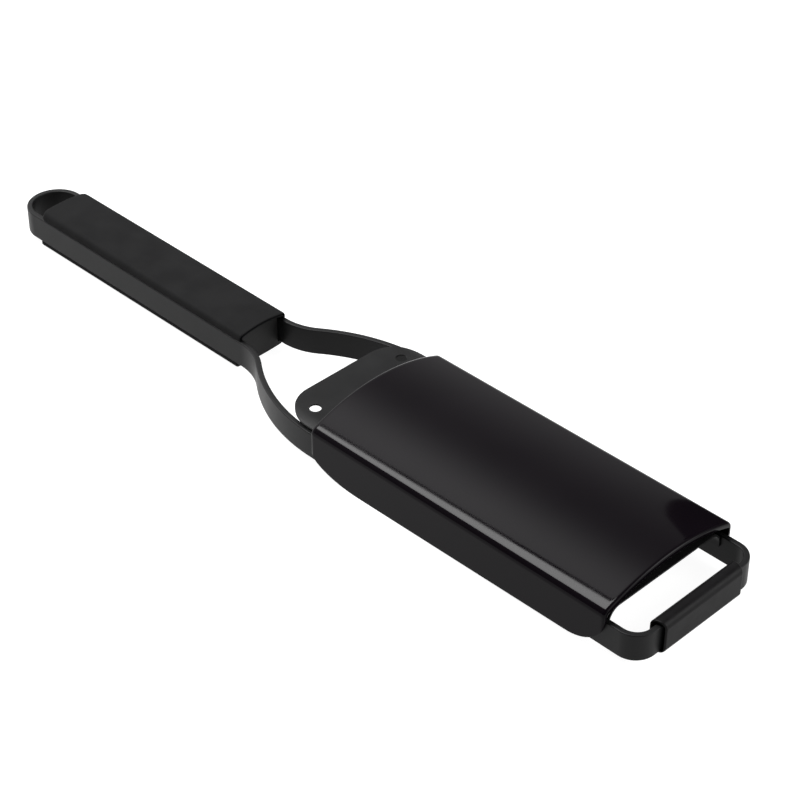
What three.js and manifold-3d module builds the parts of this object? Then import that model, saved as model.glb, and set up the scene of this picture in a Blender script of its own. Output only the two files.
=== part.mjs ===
// Rasp grater: a flat steel bar bent into one closed loop makes the hang loop, the handle rails,
// the neck, the blade rails and the front bar. A channel shaped blade is welded between the blade
// rails, a core with two soft pads fills the handle, a rubber sleeve wraps the front bar, and a
// clip-on guard slides over the blade from the front.
//
// Millimetres, +X from the handle to the front, +Z up. While the pieces are drawn, x = 0 is where
// the neck ends and the blade rails begin, and z = 0 is the bar's lower edge.

import * as THREE from 'three';
import { mergeGeometries, mergeVertices } from 'three/addons/utils/BufferGeometryUtils.js';
import Module from 'manifold-3d';

const wasm = await Module();
wasm.setup();

// Frame: the bent bar.
const BAR_HEIGHT = 10.0;
const BAR_THICKNESS = 2.1;
const FRAME_WIDTH = 57.4;
const HANDLE_WIDTH = 21.8;
const RAIL_LENGTH = 141.9;
const FRONT_CORNER_RADIUS = 7.7;
const NECK_HANDLE_RADIUS = 21;
const NECK_BLADE_RADIUS = 69;

// Blade: an etched sheet with its long sides bent down between the rails.
const BLADE_THICKNESS = 0.6;
const BLADE_LENGTH = 143.7;
const BLADE_RISE = 2.6;
const BLADE_BEND_RADIUS = 5.0;
const BLADE_FRONT_CORNER = 0.8;
const FLANGE_DEPTH = 4.0;
const FLANGE_SETBACK = 1.0;
const FRONT_GAP = 11.6;
const TAB_LENGTH = 18.0;
const TAB_CORNER_RADIUS = 11.0;
const TAB_HOLE_DIAMETER = 4.1;
const TAB_HOLE_INSET = 9.8;
const TAB_HOLE_SPACING = 40.2;

// Teeth: staggered rows of slots, each with a raised cutting lip.
const TOOTH_WIDTH = 5.0;
const TOOTH_OPENING = 2.2;
const TOOTH_PITCH_ALONG = 6.0;
const TOOTH_PITCH_ACROSS = 7.4;
const TOOTH_LIP_HEIGHT = 0.7;
const TOOTH_LIP_RUN = 1.6;
const TOOTH_FIELD_MARGIN = 5.0;

// Weld beads between the blade's flanges and the rails.
const WELDS_PER_SIDE = 4;
const WELD_LENGTH = 9.0;
const WELD_LEG = 1.3;
const WELD_END_INSET = 8.0;

// Grip: a moulded core between the rails and a soft pad above and below it.
const GRIP_LENGTH = 114.1;
const HANG_GAP = 11.6;
const GRIP_TO_NECK = 0.2;
const CORE_SETBACK = 2.1;
const PAD_INSET = 0.1;
const PAD_REAR_CORNER = 1.6;
const PAD_FRONT_CORNER = 0.8;
const TOP_PAD_SETBACK = 2.4;
const TOP_PAD_SIDE = 1.0;
const TOP_PAD_CORNER = 1.9;
const TOP_PAD_CROWN = 0.7;
const BOTTOM_PAD_SIDE = 0.3;
const BOTTOM_PAD_CORNER = 1.2;
const BOTTOM_PAD_CROWN = 0.6;
const KEYS_PER_PAD = 3;
const KEY_DIAMETER = 5.8;
const KEY_INSET = 20.0;

// Front foot: a rubber sleeve around the front bar.
const FOOT_WALL = 1.8;
const FOOT_SOLE = 0.4;
const FOOT_ROOF = 1.7;
const FOOT_EDGE_RADIUS = 2.4;
const FOOT_END_GAP = 1.7;

// Guard: an arched cover with side walls that hold the blade rails between ribs and lugs.
const COVER_WALL = 1.2;
const COVER_TOP_WALL = 1.7;
const COVER_SIDE_CLEARANCE = 0.2;
const COVER_HEADROOM = 0.8;
const COVER_ARCH_RISE = 6.4;
const COVER_SHOULDER_RADIUS = 3.0;
const COVER_OVERHANG = 1.2;
const COVER_FRONT_BOW = 0.5;
const COVER_FRONT_LIFT = 0.9;
const COVER_REAR_SKIRT = 2.6;
const COVER_FRONT_SKIRT = 1.2;
const COVER_REAR_CORNER_LENGTH = 22.0;
const COVER_REAR_CORNER_HEIGHT = 7.5;
const COVER_FRONT_CORNER_LENGTH = 15.0;
const COVER_FRONT_CORNER_HEIGHT = 12.5;
const GUIDE_CLEARANCE = 0.3;
const GUIDE_REACH = 1.2;
const GUIDE_THICKNESS = 1.0;
const GUIDE_END_INSET = 16.0;
const LUG_LENGTH = 12.0;
const LUG_INSET = 26.0;

// Seat clearance between pieces that are fixed to each other.
const SEAT = 0.1;

// Stations along the grater.
const handleHalf = HANDLE_WIDTH / 2;
const frameHalf = FRAME_WIDTH / 2;
const neckRadii = NECK_HANDLE_RADIUS + NECK_BLADE_RADIUS;
const neckAngle = Math.acos(1 - (frameHalf - handleHalf) / neckRadii);
const neckStart = -neckRadii * Math.sin(neckAngle);
const gripFront = neckStart - GRIP_TO_NECK;
const gripRear = gripFront - GRIP_LENGTH;
const coreFront = gripFront - CORE_SETBACK;
const loopCentre = gripRear - HANG_GAP + handleHalf - BAR_THICKNESS;
const frontFace = RAIL_LENGTH;
const bladeFront = frontFace - BAR_THICKNESS - FRONT_GAP;
const bladeRear = bladeFront - BLADE_LENGTH;
const coverRear = bladeRear + TAB_LENGTH;
const coverFront = bladeFront + COVER_OVERHANG;

// Heights and half widths that several pieces share.
const railInner = frameHalf - BAR_THICKNESS;
const bladeTop = BAR_HEIGHT + BLADE_RISE;
const bladeHalf = railInner - SEAT;
const flangeFoot = BAR_HEIGHT - FLANGE_DEPTH;
const flangeStart = Math.max(bladeRear, 0) + FLANGE_SETBACK;
const coverInner = frameHalf + COVER_SIDE_CLEARANCE;
const coverHalf = coverInner + COVER_WALL;
const coverShoulder = bladeTop + COVER_HEADROOM;
const coverCrown = coverShoulder + COVER_ARCH_RISE;

// Basic solids and booleans.

const CURVE_STEPS = 6;
const COVER_STEPS = 8;
const PAST = 2;
const SAME_POINT = 1e-4;

function solid(geometry) {
  const bare = geometry.index ? geometry.toNonIndexed() : geometry.clone();
  bare.deleteAttribute('normal');
  bare.deleteAttribute('uv');
  const merged = mergeVertices(bare, SAME_POINT);
  return new wasm.Manifold(new wasm.Mesh({
    numProp: 3,
    vertProperties: new Float32Array(merged.attributes.position.array),
    triVerts: new Uint32Array(merged.index.array),
  }));
}

function geometryOf(manifold) {
  const mesh = manifold.getMesh();
  const geometry = new THREE.BufferGeometry();
  geometry.setAttribute('position', new THREE.BufferAttribute(mesh.vertProperties, 3));
  geometry.setIndex(new THREE.BufferAttribute(mesh.triVerts, 1));
  geometry.computeVertexNormals();
  return geometry;
}

// An outline's points, turned anticlockwise and without the doubled point where two arcs meet.
function distinct(points) {
  const kept = points.filter((point, i) => point.distanceTo(points[(i + 1) % points.length]) > SAME_POINT);
  return THREE.ShapeUtils.isClockWise(kept) ? kept.reverse() : kept;
}

function extrude(shapes, depth, steps = CURVE_STEPS) {
  const outlines = [shapes].flat().map((drawn) => {
    const { shape, holes } = drawn.extractPoints(steps);
    const outline = new THREE.Shape(distinct(shape));
    outline.holes = holes.map((hole) => new THREE.Path(distinct(hole)));
    return outline;
  });
  return new THREE.ExtrudeGeometry(outlines, { depth, bevelEnabled: false });
}

// A plan drawn in x and y, raised from low to high.
function alongZ(shapes, low, high, steps) {
  return extrude(shapes, high - low, steps).translate(0, 0, low);
}

// A cross section drawn in y and z, run from rear to front.
function alongX(shapes, rear, front, steps) {
  const turn = new THREE.Matrix4().makeBasis(
    new THREE.Vector3(0, 1, 0),
    new THREE.Vector3(0, 0, 1),
    new THREE.Vector3(1, 0, 0),
  );
  return extrude(shapes, front - rear, steps).applyMatrix4(turn).translate(rear, 0, 0);
}

// A side view drawn in x and z, run from one side to the other and centred on y = 0.
function alongY(shapes, width, steps) {
  return extrude(shapes, width, steps).rotateX(Math.PI / 2).translate(0, width / 2, 0);
}

function block(x0, x1, y0, y1, z0, z1) {
  const box = new THREE.BoxGeometry(x1 - x0, y1 - y0, z1 - z0);
  return box.translate((x0 + x1) / 2, (y0 + y1) / 2, (z0 + z1) / 2);
}

function rectangle(path, x0, x1, y0, y1) {
  path.moveTo(x0, y0);
  path.lineTo(x1, y0);
  path.lineTo(x1, y1);
  path.lineTo(x0, y1);
  path.closePath();
  return path;
}

// A plan rectangle, centred on y = 0, with its own radius for the rear and the front corners.
function roundedPlan(rear, front, half, rearRadius, frontRadius) {
  const plan = new THREE.Shape();
  plan.absarc(rear + rearRadius, rearRadius - half, rearRadius, Math.PI, 1.5 * Math.PI, false);
  plan.absarc(front - frontRadius, frontRadius - half, frontRadius, 1.5 * Math.PI, 2 * Math.PI, false);
  plan.absarc(front - frontRadius, half - frontRadius, frontRadius, 0, Math.PI / 2, false);
  plan.absarc(rear + rearRadius, half - rearRadius, rearRadius, Math.PI / 2, Math.PI, false);
  plan.closePath();
  return plan;
}

// Evenly spaced places from first to last.
function spread(first, last, count) {
  return Array.from({ length: count }, (_, i) => first + (last - first) * (i + 0.5) / count);
}

// Frame.

// The closed loop seen from above, at a distance inside the bar's outer face.
function framePlan(path, inset) {
  const quarter = Math.PI / 2;
  const handle = handleHalf - inset;
  const rail = frameHalf - inset;
  const handleBend = NECK_HANDLE_RADIUS + inset;
  const bladeBend = NECK_BLADE_RADIUS - inset;
  const corner = FRONT_CORNER_RADIUS - inset;
  const cornerX = frontFace - FRONT_CORNER_RADIUS;
  const cornerY = frameHalf - FRONT_CORNER_RADIUS;
  path.absarc(loopCentre, 0, handle, -quarter, -3 * quarter, true);
  path.absarc(neckStart, handle + handleBend, handleBend, -quarter, neckAngle - quarter, false);
  path.absarc(0, rail - bladeBend, bladeBend, quarter + neckAngle, quarter, true);
  path.absarc(cornerX, cornerY, corner, quarter, 0, true);
  path.absarc(cornerX, -cornerY, corner, 0, -quarter, true);
  path.absarc(0, bladeBend - rail, bladeBend, -quarter, -quarter - neckAngle, true);
  path.absarc(neckStart, -handle - handleBend, handleBend, quarter - neckAngle, quarter, false);
  path.closePath();
  return path;
}

function makeFrame() {
  const plan = framePlan(new THREE.Shape(), 0);
  plan.holes.push(framePlan(new THREE.Path(), BAR_THICKNESS));
  return alongZ(plan, 0, BAR_HEIGHT);
}

// Blade.

// The channel section: a flat top, two rounded bends and two flanges.
function channelSection() {
  const bend = BLADE_BEND_RADIUS;
  const inner = bend - BLADE_THICKNESS;
  const bendY = bladeHalf - bend;
  const bendZ = bladeTop - bend;
  const section = new THREE.Shape();
  section.moveTo(bladeHalf, flangeFoot);
  section.lineTo(bladeHalf, bendZ);
  section.absarc(bendY, bendZ, bend, 0, Math.PI / 2, false);
  section.absarc(-bendY, bendZ, bend, Math.PI / 2, Math.PI, false);
  section.lineTo(-bladeHalf, flangeFoot);
  section.lineTo(BLADE_THICKNESS - bladeHalf, flangeFoot);
  section.absarc(-bendY, bendZ, inner, Math.PI, Math.PI / 2, true);
  section.absarc(bendY, bendZ, inner, Math.PI / 2, 0, true);
  section.lineTo(bladeHalf - BLADE_THICKNESS, flangeFoot);
  section.closePath();
  return section;
}

// Where each tooth sits: rows along the blade, every second row moved half a pitch sideways.
function toothPlaces() {
  const first = coverRear + TOOTH_FIELD_MARGIN;
  const last = bladeFront - TOOTH_FIELD_MARGIN;
  const halfField = bladeHalf - BLADE_BEND_RADIUS - TOOTH_WIDTH / 2;
  const rows = Math.floor((last - first) / TOOTH_PITCH_ALONG);
  const perRow = Math.floor(2 * halfField / TOOTH_PITCH_ACROSS) + 1;
  const places = [];
  spread(first, last, rows).forEach((x, row) => {
    const count = perRow - row % 2;
    for (let i = 0; i < count; i += 1) {
      places.push([x, (i - (count - 1) / 2) * TOOTH_PITCH_ACROSS]);
    }
  });
  return places;
}

// A slot with a straight cutting edge in front and a narrower back.
function slotPlan([x, y]) {
  const half = TOOTH_WIDTH / 2;
  const shoulder = TOOTH_OPENING / 2;
  const slot = new THREE.Shape();
  slot.moveTo(x + shoulder, y - half);
  slot.lineTo(x + shoulder, y + half);
  slot.lineTo(x, y + half);
  slot.lineTo(x - shoulder, y + half - shoulder);
  slot.lineTo(x - shoulder, y - half + shoulder);
  slot.lineTo(x, y - half);
  slot.closePath();
  return slot;
}

// The raised lip in front of a slot: a wedge whose high edge is the cutting edge.
function toothLip([x, y]) {
  const edge = x + TOOTH_OPENING / 2;
  const root = bladeTop - BLADE_THICKNESS / 2;
  const wedge = new THREE.Shape();
  wedge.moveTo(edge, root);
  wedge.lineTo(edge + TOOTH_LIP_RUN, root);
  wedge.lineTo(edge, bladeTop + TOOTH_LIP_HEIGHT);
  wedge.closePath();
  return alongY(wedge, TOOTH_WIDTH).translate(0, y, 0);
}

function makeBlade() {
  const outline = roundedPlan(bladeRear, bladeFront, bladeHalf, TAB_CORNER_RADIUS, BLADE_FRONT_CORNER);
  const channel = solid(alongX(channelSection(), bladeRear - PAST, bladeFront + PAST));
  const sheet = channel.intersect(solid(alongZ(outline, flangeFoot - PAST, bladeTop + PAST)));
  // Over the neck the flanges stop just above the rails, which close in there.
  const neckCut = block(
    bladeRear - PAST, flangeStart, -frameHalf, frameHalf, flangeFoot - PAST, BAR_HEIGHT + SEAT,
  );
  const places = toothPlaces();
  const lips = mergeGeometries(places.map(toothLip));
  const holeX = bladeRear + TAB_HOLE_INSET;
  const holes = [-1, 1].map((side) => {
    const plan = new THREE.Shape();
    plan.absarc(holeX, side * TAB_HOLE_SPACING / 2, TAB_HOLE_DIAMETER / 2, 0, 2 * Math.PI, false);
    return plan;
  });
  const openings = alongZ([...places.map(slotPlan), ...holes], flangeFoot, bladeTop + PAST);
  return geometryOf(sheet.subtract(solid(neckCut)).add(solid(lips)).subtract(solid(openings)));
}

// Weld beads.

// One bead fills the corner under a flange, against the rail's inner face.
function makeWeldBead(x, side) {
  const wall = bladeHalf;
  const top = flangeFoot - SEAT;
  const bead = new THREE.Shape();
  bead.moveTo(wall, top);
  bead.lineTo(wall - WELD_LEG, top);
  bead.quadraticCurveTo(wall - WELD_LEG, top - WELD_LEG, wall, top - WELD_LEG);
  bead.closePath();
  const geometry = alongX(bead, -WELD_LENGTH / 2, WELD_LENGTH / 2);
  return geometry.rotateZ(side > 0 ? 0 : Math.PI).translate(x, 0, 0);
}

// Grip.

// Centres of the keys that lock the pads into the core.
const keyPlaces = Array.from({ length: KEYS_PER_PAD }, (_, i) => {
  const run = GRIP_LENGTH - 2 * KEY_INSET;
  return gripRear + KEY_INSET + run * i / Math.max(KEYS_PER_PAD - 1, 1);
});

function post(x, radius, low, high) {
  const cylinder = new THREE.CylinderGeometry(radius, radius, high - low, 4 * CURVE_STEPS);
  return cylinder.rotateX(Math.PI / 2).translate(x, 0, (low + high) / 2);
}

function makeGripCore() {
  const frameHole = framePlan(new THREE.Shape(), BAR_THICKNESS + SEAT);
  const reach = block(gripRear, coreFront, -handleHalf, handleHalf, -PAST, BAR_HEIGHT + PAST);
  const core = solid(alongZ(frameHole, 0, BAR_HEIGHT)).intersect(solid(reach));
  const sockets = keyPlaces.map((x) => post(x, KEY_DIAMETER / 2 + SEAT, -PAST, BAR_HEIGHT + PAST));
  return geometryOf(core.subtract(solid(mergeGeometries(sockets))));
}

// A pad's section, drawn upwards from its seat: short sides, rounded shoulders and a low crown.
function padSection(side, corner, crown) {
  const half = handleHalf - PAD_INSET;
  const shoulder = side + corner;
  const section = new THREE.Shape();
  section.moveTo(half, 0);
  section.lineTo(half, side);
  section.quadraticCurveTo(half, shoulder, half - corner, shoulder);
  section.quadraticCurveTo(0, shoulder + 2 * crown, corner - half, shoulder);
  section.quadraticCurveTo(-half, shoulder, -half, side);
  section.lineTo(-half, 0);
  section.closePath();
  return section;
}

// One pad with its keys, from its rear to its front, drawn upwards from its seat.
function padBody(side, corner, crown, rear, front) {
  const half = handleHalf - PAD_INSET;
  const top = side + corner + crown;
  const keyReach = BAR_HEIGHT / 2 - SEAT;
  const plan = roundedPlan(rear, front, half, PAD_REAR_CORNER, PAD_FRONT_CORNER);
  const bar = solid(alongX(padSection(side, corner, crown), rear - PAST, front + PAST));
  const pad = bar.intersect(solid(alongZ(plan, -PAST, top + PAST)));
  const keys = keyPlaces.map((x) => post(x, KEY_DIAMETER / 2, -keyReach, side));
  return geometryOf(pad.add(solid(mergeGeometries(keys))));
}

function makeTopPad() {
  const rear = gripRear + TOP_PAD_SETBACK;
  const pad = padBody(TOP_PAD_SIDE, TOP_PAD_CORNER, TOP_PAD_CROWN, rear, gripFront);
  return pad.translate(0, 0, BAR_HEIGHT + SEAT);
}

function makeBottomPad() {
  const pad = padBody(BOTTOM_PAD_SIDE, BOTTOM_PAD_CORNER, BOTTOM_PAD_CROWN, gripRear, coreFront);
  return pad.rotateX(Math.PI).translate(0, 0, -SEAT);
}

// Front foot.

function makeFrontFoot() {
  const back = frontFace - BAR_THICKNESS - FOOT_WALL;
  const front = frontFace + FOOT_WALL;
  const radius = Math.min(FOOT_EDGE_RADIUS, (front - back) / 2 - SEAT);
  const sleeve = new THREE.Shape();
  sleeve.absarc(back + radius, radius - FOOT_SOLE, radius, Math.PI, 1.5 * Math.PI, false);
  sleeve.absarc(front - radius, radius - FOOT_SOLE, radius, 1.5 * Math.PI, 2 * Math.PI, false);
  sleeve.absarc(front - radius, BAR_HEIGHT + FOOT_ROOF - radius, radius, 0, Math.PI / 2, false);
  sleeve.absarc(back + radius, BAR_HEIGHT + FOOT_ROOF - radius, radius, Math.PI / 2, Math.PI, false);
  sleeve.closePath();
  sleeve.holes.push(rectangle(
    new THREE.Path(), frontFace - BAR_THICKNESS - SEAT, frontFace + SEAT, -SEAT, BAR_HEIGHT + SEAT,
  ));
  return alongY(sleeve, 2 * (frameHalf - FRONT_CORNER_RADIUS - FOOT_END_GAP));
}

// Guard.

// One skin of the cover's section, at its own distance inside the walls' and the top's outer faces:
// a wall, a rounded shoulder, the arch, and the same again. The arch's centre lies below.
function coverSkin(wallInset, topInset, foot) {
  const archRadius = (coverHalf ** 2 + COVER_ARCH_RISE ** 2) / (2 * COVER_ARCH_RISE);
  const archCentre = coverCrown - archRadius;
  const skinRadius = archRadius - topInset;
  const half = coverHalf - wallInset;
  const shoulder = Math.max(COVER_SHOULDER_RADIUS - topInset, SEAT);
  const shoulderY = half - shoulder;
  const shoulderZ = archCentre + Math.sqrt((skinRadius - shoulder) ** 2 - shoulderY ** 2);
  const lean = Math.atan2(shoulderZ - archCentre, shoulderY);
  const points = new THREE.Path();
  points.moveTo(half, foot);
  points.lineTo(half, shoulderZ);
  points.absarc(shoulderY, shoulderZ, shoulder, 0, lean, false);
  points.absarc(0, archCentre, skinRadius, lean, Math.PI - lean, false);
  points.absarc(-shoulderY, shoulderZ, shoulder, Math.PI - lean, Math.PI, false);
  points.lineTo(-half, foot);
  return points.getPoints(COVER_STEPS);
}

// The arch rises a little from the rear to the front: every section is moved up in step with x.
function lifted(geometry) {
  const slope = COVER_FRONT_LIFT / (coverFront - coverRear);
  const rise = new THREE.Matrix4().set(1, 0, 0, 0, 0, 1, 0, 0, slope, 0, 1, -slope * coverRear, 0, 0, 0, 1);
  return geometry.applyMatrix4(rise);
}

// The cover seen from the side: rounded lower corners and a lower edge that rises to the front.
function coverSideView(top) {
  const rearX = coverRear + COVER_REAR_CORNER_LENGTH;
  const rearZ = COVER_REAR_CORNER_HEIGHT - COVER_REAR_SKIRT;
  const frontX = coverFront - COVER_FRONT_CORNER_LENGTH;
  const frontZ = COVER_FRONT_CORNER_HEIGHT - COVER_FRONT_SKIRT;
  const front = coverFront + COVER_FRONT_BOW + PAST;
  const view = new THREE.Shape();
  view.absellipse(
    rearX, rearZ, COVER_REAR_CORNER_LENGTH, COVER_REAR_CORNER_HEIGHT, Math.PI, 1.5 * Math.PI, false,
  );
  view.absellipse(
    frontX, frontZ, COVER_FRONT_CORNER_LENGTH, COVER_FRONT_CORNER_HEIGHT, 1.5 * Math.PI, 2 * Math.PI, false,
  );
  view.lineTo(front, frontZ);
  view.lineTo(front, top);
  view.lineTo(coverRear, top);
  view.closePath();
  return view;
}

// The cover seen from above, with its front edge bowed forward in the middle.
function coverPlan() {
  const plan = new THREE.Shape();
  const half = coverHalf + PAST;
  plan.moveTo(coverRear - PAST, -half);
  plan.lineTo(coverFront, -half);
  plan.quadraticCurveTo(coverFront + 2 * COVER_FRONT_BOW, 0, coverFront, half);
  plan.lineTo(coverRear - PAST, half);
  plan.closePath();
  return plan;
}

// Ribs above the rails and lugs below them, on both walls.
function coverGuides() {
  const wall = coverInner + COVER_WALL / 2;
  const ribLow = BAR_HEIGHT + GUIDE_CLEARANCE;
  const lugHigh = -GUIDE_CLEARANCE;
  const ribInner = coverInner - COVER_SIDE_CLEARANCE - GUIDE_REACH;
  const lugInner = railInner;
  const pieces = [];
  for (const side of [-1, 1]) {
    const ribY = [side * ribInner, side * wall].sort((a, b) => a - b);
    const lugY = [side * lugInner, side * wall].sort((a, b) => a - b);
    pieces.push(block(
      coverRear + GUIDE_END_INSET, coverFront - GUIDE_END_INSET, ...ribY, ribLow, ribLow + GUIDE_THICKNESS,
    ));
    for (const x of [coverRear + LUG_INSET, coverFront - LUG_INSET - LUG_LENGTH]) {
      pieces.push(block(x, x + LUG_LENGTH, ...lugY, lugHigh - GUIDE_THICKNESS, lugHigh));
    }
  }
  return mergeGeometries(pieces);
}

function makeBladeCover() {
  const foot = -COVER_REAR_SKIRT - COVER_FRONT_LIFT - PAST;
  const top = coverCrown + COVER_FRONT_LIFT + PAST;
  const inner = coverSkin(COVER_WALL, COVER_TOP_WALL, foot);
  const section = new THREE.Shape([...coverSkin(0, 0, foot), ...inner.reverse()]);
  const shell = solid(lifted(alongX(section, coverRear - PAST, coverFront + COVER_FRONT_BOW + PAST)));
  const side = solid(alongY(coverSideView(top), 2 * (coverHalf + PAST)));
  const plan = solid(alongZ(coverPlan(), foot - PAST, top));
  return geometryOf(shell.intersect(side).intersect(plan).add(solid(coverGuides())));
}

// Finishes.

function finish(color, roughness, metalness) {
  return new THREE.MeshStandardMaterial({ color, roughness, metalness });
}

const coatedSteel = () => finish(0x232324, 0.42, 0.35);
const etchedSteel = () => finish(0x262627, 0.48, 0.35);
const weldSteel = () => finish(0x2c2b2a, 0.6, 0.4);
const hardPlastic = () => finish(0x1c1c1d, 0.55, 0);
const softPad = () => finish(0x202021, 0.78, 0);
const footRubber = () => finish(0x262627, 0.7, 0);
const glossPlastic = () => finish(0x121113, 0.12, 0);

// Assembly.

const grater = new THREE.Group();
grater.name = 'rasp_grater';

function place(name, geometry, material) {
  const mesh = new THREE.Mesh(geometry, material);
  mesh.name = name;
  grater.add(mesh);
}

place('frame', makeFrame(), coatedSteel());
place('blade', makeBlade(), etchedSteel());
for (const [side, label] of [[1, 'left'], [-1, 'right']]) {
  spread(flangeStart + WELD_END_INSET, bladeFront - WELD_END_INSET, WELDS_PER_SIDE).forEach((x, i) => {
    place(`weld_bead_${label}_${i + 1}`, makeWeldBead(x, side), weldSteel());
  });
}
place('grip_core', makeGripCore(), hardPlastic());
place('grip_top_pad', makeTopPad(), softPad());
place('grip_bottom_pad', makeBottomPad(), softPad());
place('front_foot', makeFrontFoot(), footRubber());
place('blade_cover', makeBladeCover(), glossPlastic());

// The origin is the middle of the overall length and width, at the lowest point.
const rearEnd = loopCentre - handleHalf;
const frontEnd = frontFace + FOOT_WALL;
const bottomPadDepth = SEAT + BOTTOM_PAD_SIDE + BOTTOM_PAD_CORNER + BOTTOM_PAD_CROWN;
const lowest = -Math.max(COVER_REAR_SKIRT, COVER_FRONT_SKIRT, bottomPadDepth, FOOT_SOLE);
grater.position.set(-(rearEnd + frontEnd) / 2, 0, -lowest);

export default grater;
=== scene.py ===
# %% [markdown]
# # A rasp grater, piece by piece
# The grater is a flat steel bar bent into one long loop, a toothed blade welded between its rails,
# a handle with soft pads, a rubber foot on the front bar and a glossy guard that slides over the
# blade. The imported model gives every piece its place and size; this script gives each one its
# finished surface. All lengths are metres.

# %% Load the frame
import math

import bmesh
import bpy
from mathutils import Matrix, Vector


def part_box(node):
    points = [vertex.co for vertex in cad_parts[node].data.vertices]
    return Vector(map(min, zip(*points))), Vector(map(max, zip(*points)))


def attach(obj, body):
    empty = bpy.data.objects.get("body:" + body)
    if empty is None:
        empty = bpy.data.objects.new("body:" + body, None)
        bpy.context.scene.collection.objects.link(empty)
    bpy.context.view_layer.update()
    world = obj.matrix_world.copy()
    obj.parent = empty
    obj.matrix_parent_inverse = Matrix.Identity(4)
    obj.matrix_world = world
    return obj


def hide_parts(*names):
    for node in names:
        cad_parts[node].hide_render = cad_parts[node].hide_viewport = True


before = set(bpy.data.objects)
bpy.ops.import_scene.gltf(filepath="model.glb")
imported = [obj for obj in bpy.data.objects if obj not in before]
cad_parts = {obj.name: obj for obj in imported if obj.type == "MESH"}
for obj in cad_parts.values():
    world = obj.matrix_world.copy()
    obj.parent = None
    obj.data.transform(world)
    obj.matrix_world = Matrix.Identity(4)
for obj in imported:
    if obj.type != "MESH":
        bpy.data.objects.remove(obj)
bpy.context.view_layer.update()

print("nodes:", sorted(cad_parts))

# %% [markdown]
# ## Shared sizes
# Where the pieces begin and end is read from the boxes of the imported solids. Only what a box can't
# tell, such as a radius or a sheet's thickness, is written down here.

# %% Stations and sizes
bar_low, bar_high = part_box("frame")
blade_low, blade_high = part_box("blade")
core_low, core_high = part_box("grip_core")
top_pad_low, top_pad_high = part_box("grip_top_pad")
bottom_pad_low, bottom_pad_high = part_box("grip_bottom_pad")
foot_low, foot_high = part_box("front_foot")
cover_low, cover_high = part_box("blade_cover")

BAR_THICKNESS = 0.0021
HANDLE_WIDTH = 0.0218
RAIL_LENGTH = 0.1419
HANDLE_BEND = 0.021
BLADE_BEND = 0.069
CORNER_BEND = 0.0077
SEAT = 0.0001  # the hair's breadth left where two pieces meet

handle_half = HANDLE_WIDTH / 2
rail_start = bar_high.x - RAIL_LENGTH
neck_angle = math.acos(1 - (bar_high.y - handle_half) / (HANDLE_BEND + BLADE_BEND))
neck_start = rail_start - (HANDLE_BEND + BLADE_BEND) * math.sin(neck_angle)
loop_centre = bar_low.x + handle_half
print("neck from", round(neck_start, 4), "to", round(rail_start, 4))

# %% [markdown]
# ## The camera
# The photograph was taken from the front right, a little under forty degrees up, with a long lens.
# A camera can be placed by eye, but here it was solved from points measured in the picture: the
# angles, the lens and the distance below put most corners of the grater within a pixel or two.

# %% Camera
PHOTO_WIDTH_PIXELS = 800
FOCAL_PIXELS = 2252.5
VIEW_AZIMUTH = math.radians(45.09)
VIEW_ELEVATION = math.radians(36.88)
VIEW_ROLL = math.radians(0.15)
VIEW_DISTANCE = 0.760
VIEW_RIGHT = 0.00799
VIEW_UP = 0.00771

back = Vector((
    math.sin(VIEW_AZIMUTH) * math.cos(VIEW_ELEVATION),
    -math.cos(VIEW_AZIMUTH) * math.cos(VIEW_ELEVATION),
    math.sin(VIEW_ELEVATION),
))
level = Vector((math.cos(VIEW_AZIMUTH), math.sin(VIEW_AZIMUTH), 0))
upright = back.cross(level)
right = level * math.cos(VIEW_ROLL) + upright * math.sin(VIEW_ROLL)
up = upright * math.cos(VIEW_ROLL) - level * math.sin(VIEW_ROLL)
aim = Vector((cover_low.x, 0, bar_low.z))
eye = aim + back * VIEW_DISTANCE + right * VIEW_RIGHT + up * VIEW_UP

camera_data = bpy.data.cameras.new("photo_camera")
camera_data.lens = FOCAL_PIXELS * camera_data.sensor_width / PHOTO_WIDTH_PIXELS
camera = bpy.data.objects.new("photo_camera", camera_data)
camera.matrix_world = Matrix((right, up, back)).transposed().to_4x4()
camera.location = eye
bpy.context.scene.collection.objects.link(camera)
bpy.context.scene.camera = camera
print("camera at", [round(v, 3) for v in eye], "lens", round(camera_data.lens, 1))

# %% [markdown]
# ## A few helpers
# Most pieces are lofts: rings of points with the same count, joined by quads and closed with a cap
# at each end. A loft keeps its edge flow where an edge has to be rounded, which a boolean can't.

# %% Helpers for outlines and lofts
QUARTER = math.pi / 2
SAME_POINT = 1e-7


def arc(x, y, radius, start, end, steps):
    """Points of an arc in the plane, with both of its ends."""
    angles = [start + (end - start) * i / steps for i in range(steps + 1)]
    return [(x + radius * math.cos(a), y + radius * math.sin(a)) for a in angles]


def rounded_box(x0, x1, y0, y1, corner, steps):
    """An anticlockwise rectangle with round corners, from the corner at x0, y0."""
    return (
        arc(x0 + corner, y0 + corner, corner, 2 * QUARTER, 3 * QUARTER, steps)
        + arc(x1 - corner, y0 + corner, corner, 3 * QUARTER, 4 * QUARTER, steps)
        + arc(x1 - corner, y1 - corner, corner, 0, QUARTER, steps)
        + arc(x0 + corner, y1 - corner, corner, QUARTER, 2 * QUARTER, steps)
    )


def add_piece(name, mesh):
    """A new object for a mesh, at the origin, with its place in the mesh itself."""
    piece = bpy.data.objects.new(name, mesh)
    bpy.context.scene.collection.objects.link(piece)
    return piece


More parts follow.
